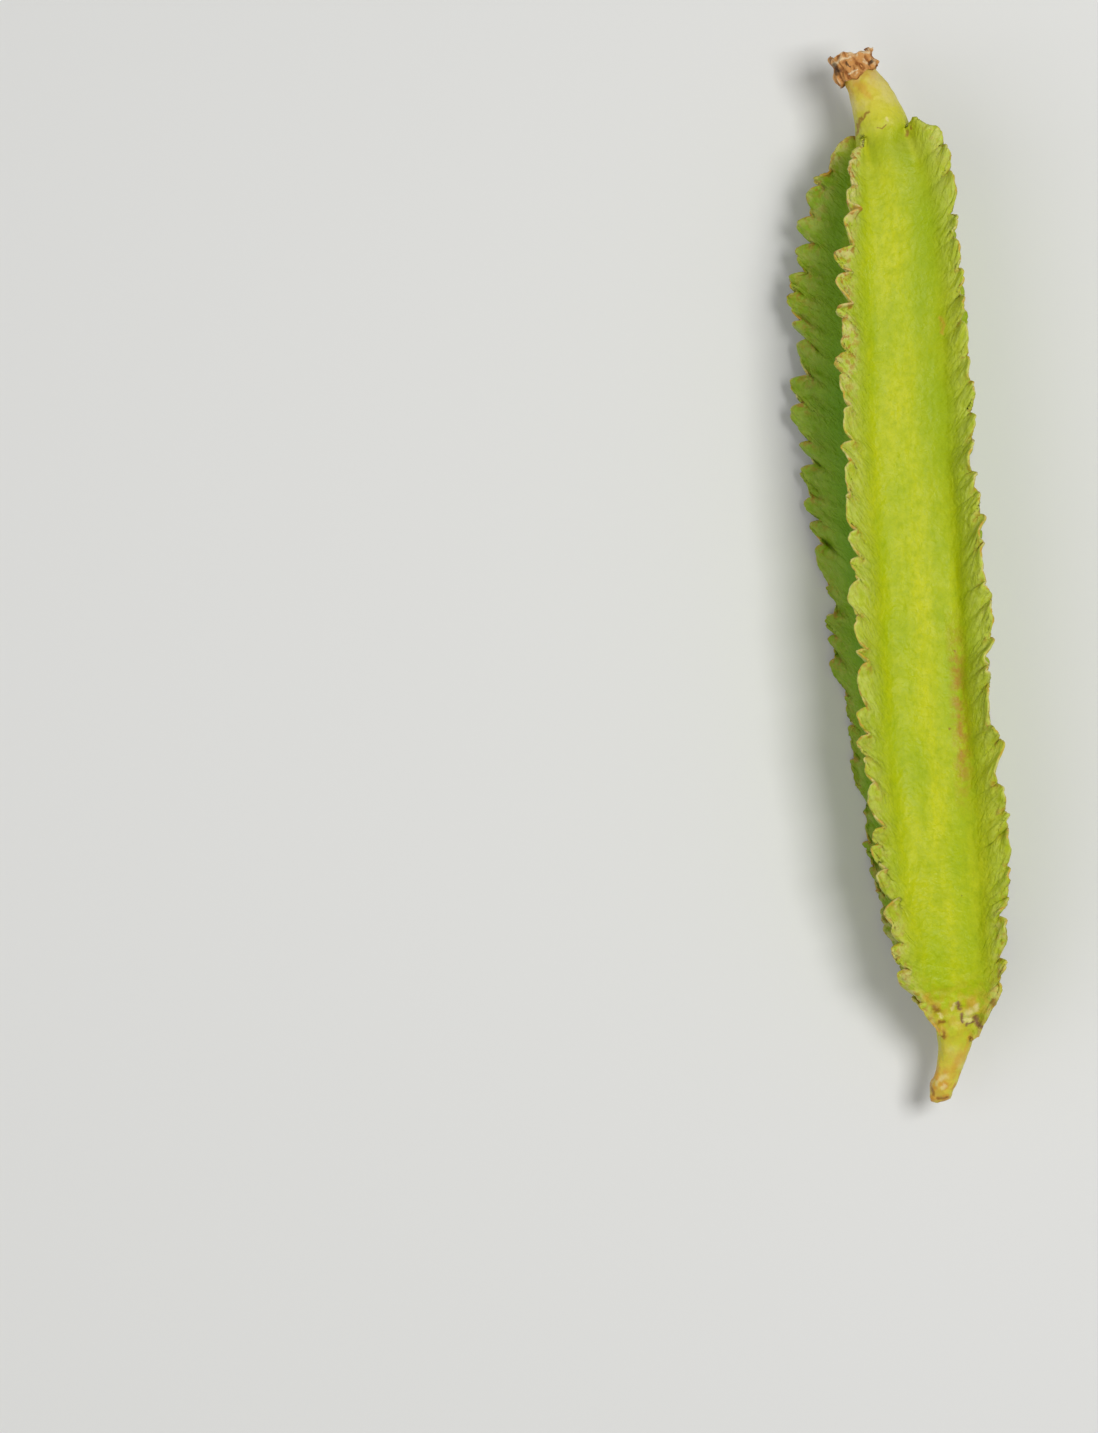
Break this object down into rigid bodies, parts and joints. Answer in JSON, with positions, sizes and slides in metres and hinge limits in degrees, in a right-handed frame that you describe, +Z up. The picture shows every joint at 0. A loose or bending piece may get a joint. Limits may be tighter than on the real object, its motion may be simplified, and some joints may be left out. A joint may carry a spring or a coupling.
{
  "type": "winged bean",
  "caption": "Whole green winged bean pod with frilled lengthwise wings, a bare neck with a dry torn calyx and a curved beak, lying on its lower wings.",
  "frame": {"origin": "on the surface that the pod lies on, under the middle of its bounding box", "axes": "+Y along the pod towards the stem end, +X to the right as seen from the beak, +Z up"},
  "size_m": [0.0328, 0.1552, 0.0237],
  "materials": {
    "pod": "satin",
    "calyx": "matte"
  },
  "bodies": {
    "root": {"pod": "pod", "calyx": "calyx"}
  },
  "joints": []
}
